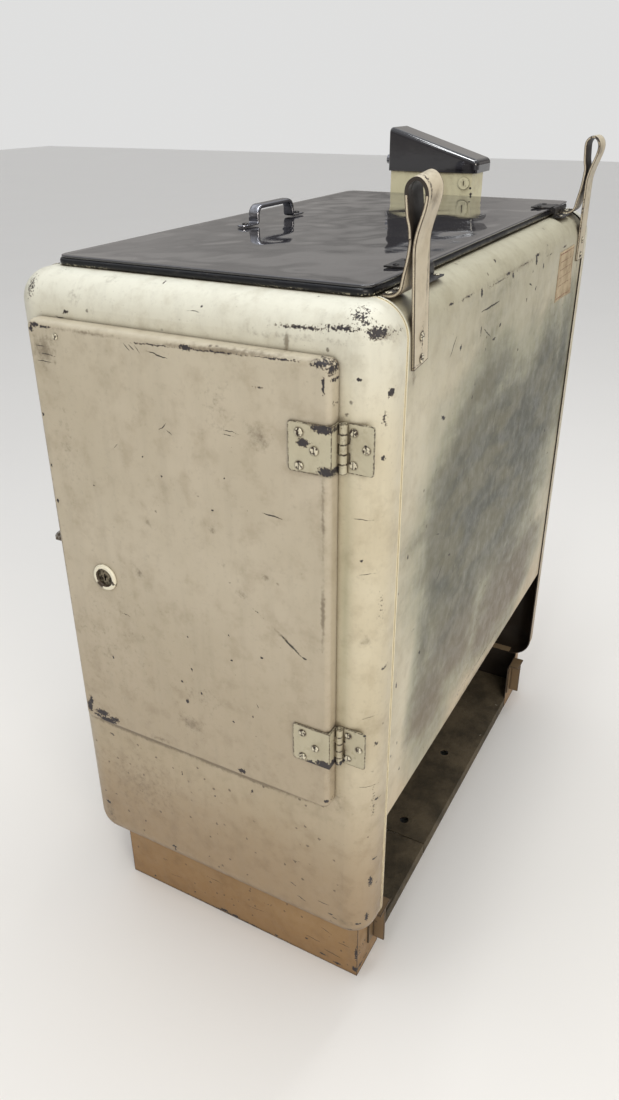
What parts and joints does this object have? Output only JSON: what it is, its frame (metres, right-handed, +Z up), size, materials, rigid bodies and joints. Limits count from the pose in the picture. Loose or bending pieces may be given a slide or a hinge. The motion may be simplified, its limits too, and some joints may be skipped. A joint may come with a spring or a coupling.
{
  "type": "chest bottle cooler",
  "caption": "Chest bottle cooler: cream steel cabinet on a recessed plinth, black hinged lid with strap handle, side door, coin box, open rear machine bay.",
  "frame": {"origin": "on the floor under the middle of the overall bounding box, with the plinth standing on z = 0", "axes": "+Z up, +X towards the end with the hinged door, +Y towards the back where the lid hinges and the machine bay is open"},
  "size_m": [0.8399, 0.483, 1.0074],
  "materials": {
    "cap_paint": "worn semi-gloss cream enamel",
    "back_paint": "worn cream enamel with a grey smear",
    "front_paint": "worn semi-gloss cream enamel",
    "door_paint": "worn semi-gloss cream enamel",
    "hinge_paint": "cream enamel over steel, chipped",
    "strap_paint": "cream enamel over steel strap",
    "screw_paint": "overpainted screw heads",
    "coin_paint": "cream enamel",
    "coin_black": "glossy black",
    "plinth_paint": "tan enamel, rubbed",
    "deck_dirt": "dusty dark brown",
    "bracket_steel": "dull bare steel",
    "lid_black": "high-gloss black",
    "lid_rim": "black, speckled edge band",
    "chrome": "polished",
    "hinge_black": "black enamel",
    "lock_metal": "worn brass",
    "galvanised": "dull zinc",
    "jamb": "dark breaker strip",
    "foam": "fibre board insulation",
    "copper": "dull copper tube",
    "condenser_metal": "dusty fins",
    "unit_black": "satin black",
    "rubber_parts": "matt",
    "rotor_plastic": "cast",
    "label_paper": "faded blank paper",
    "opener_metal": "worn plating"
  },
  "bodies": {
    "cabinet": {"cap_near": "cap_paint", "cap_far": "cap_paint", "back_panel": "back_paint", "front_panel": "front_paint", "top_frame": "lid_rim", "door_jamb": "jamb", "tank_liner": "galvanised", "insulation": "foam", "bay_ceiling": "deck_dirt", "drain_tube": "rubber_parts", "evaporator_coil": "copper", "bottle_rails": "galvanised", "storage_shelf": "galvanised", "rotor_bracket": "bracket_steel", "plinth": "plinth_paint", "deck_plates": "deck_dirt", "corner_brackets": "bracket_steel", "label": "label_paper", "unit_base": "bracket_steel", "compressor_grommets": "rubber_parts", "compressor": "unit_black", "relay_box": "unit_black", "condenser": "condenser_metal", "fan_shroud": "unit_black", "fan_motor": "unit_black", "refrigerant_lines": "copper", "cord_gland": "rubber_parts", "coin_housing": "coin_paint", "coin_cap": "coin_black", "coin_mechanism": "galvanised", "coin_slot_plate": "chrome", "lid_hinge_lower_leaves": "hinge_black", "lid_hinge_pins": "hinge_black", "strap_near": "strap_paint", "strap_far": "strap_paint", "door_hinge_frame_leaves": "hinge_paint", "door_hinge_pins": "hinge_paint", "cabinet_screws": "screw_paint", "bottle_opener": "opener_metal"},
    "lid": {"lid_skin": "lid_black", "lid_rim": "lid_rim", "lid_liner": "galvanised", "lid_insulation": "foam", "lid_handle": "chrome", "lid_hinge_upper_leaves": "hinge_black", "lid_screws": "hinge_black"},
    "door": {"door_skin": "door_paint", "door_liner": "galvanised", "door_insulation": "foam", "door_gasket": "lid_rim", "door_lock_ring": "lock_metal", "door_hinge_door_leaves": "hinge_paint", "door_screws": "screw_paint"},
    "door_lock": {"door_lock_plug": "lock_metal", "door_lock_cam": "lock_metal"},
    "coin_lock": {"coin_lock_plug": "coin_paint"},
    "return_button": {"coin_return_button": "chrome"},
    "rotor": {"vend_rotor": "rotor_plastic"},
    "fan": {"fan_blade": "condenser_metal"}
  },
  "joints": [
    {"name": "lid_hinge", "type": "hinge", "parent": "cabinet", "child": "lid", "pos_m": [-0.0049, 0.1988, 0.9086], "axis": [-1, 0, 0], "range_deg": [0, 102]},
    {"name": "door_hinge", "type": "hinge", "parent": "cabinet", "child": "door", "pos_m": [0.4036, 0.1906, 0.596], "axis": [0, 0, 1], "range_deg": [0, 110]},
    {"name": "door_lock_turn", "type": "hinge", "parent": "door", "child": "door_lock", "pos_m": [0.4121, -0.1104, 0.561], "axis": [1, 0, 0], "range_deg": [0, 90]},
    {"name": "coin_lock_turn", "type": "hinge", "parent": "cabinet", "child": "coin_lock", "pos_m": [-0.3579, 0.0236, 0.928], "axis": [1, 0, 0], "range_deg": [0, 90]},
    {"name": "return_button_press", "type": "slide", "parent": "cabinet", "child": "return_button", "axis": [0, 1, 0], "range_m": [0, 0.003], "stiffness_N_per_m": 150},
    {"name": "vend_rotor_turn", "type": "hinge", "parent": "cabinet", "child": "rotor", "pos_m": [-0.2499, -0.0314, 0.86], "axis": [0, 0, 1], "range_deg": [0, 90]},
    {"name": "fan_spin", "type": "hinge", "parent": "cabinet", "child": "fan", "pos_m": [0.1221, -0.1044, 0.145], "axis": [0, 1, 0], "continuous": true}
  ]
}
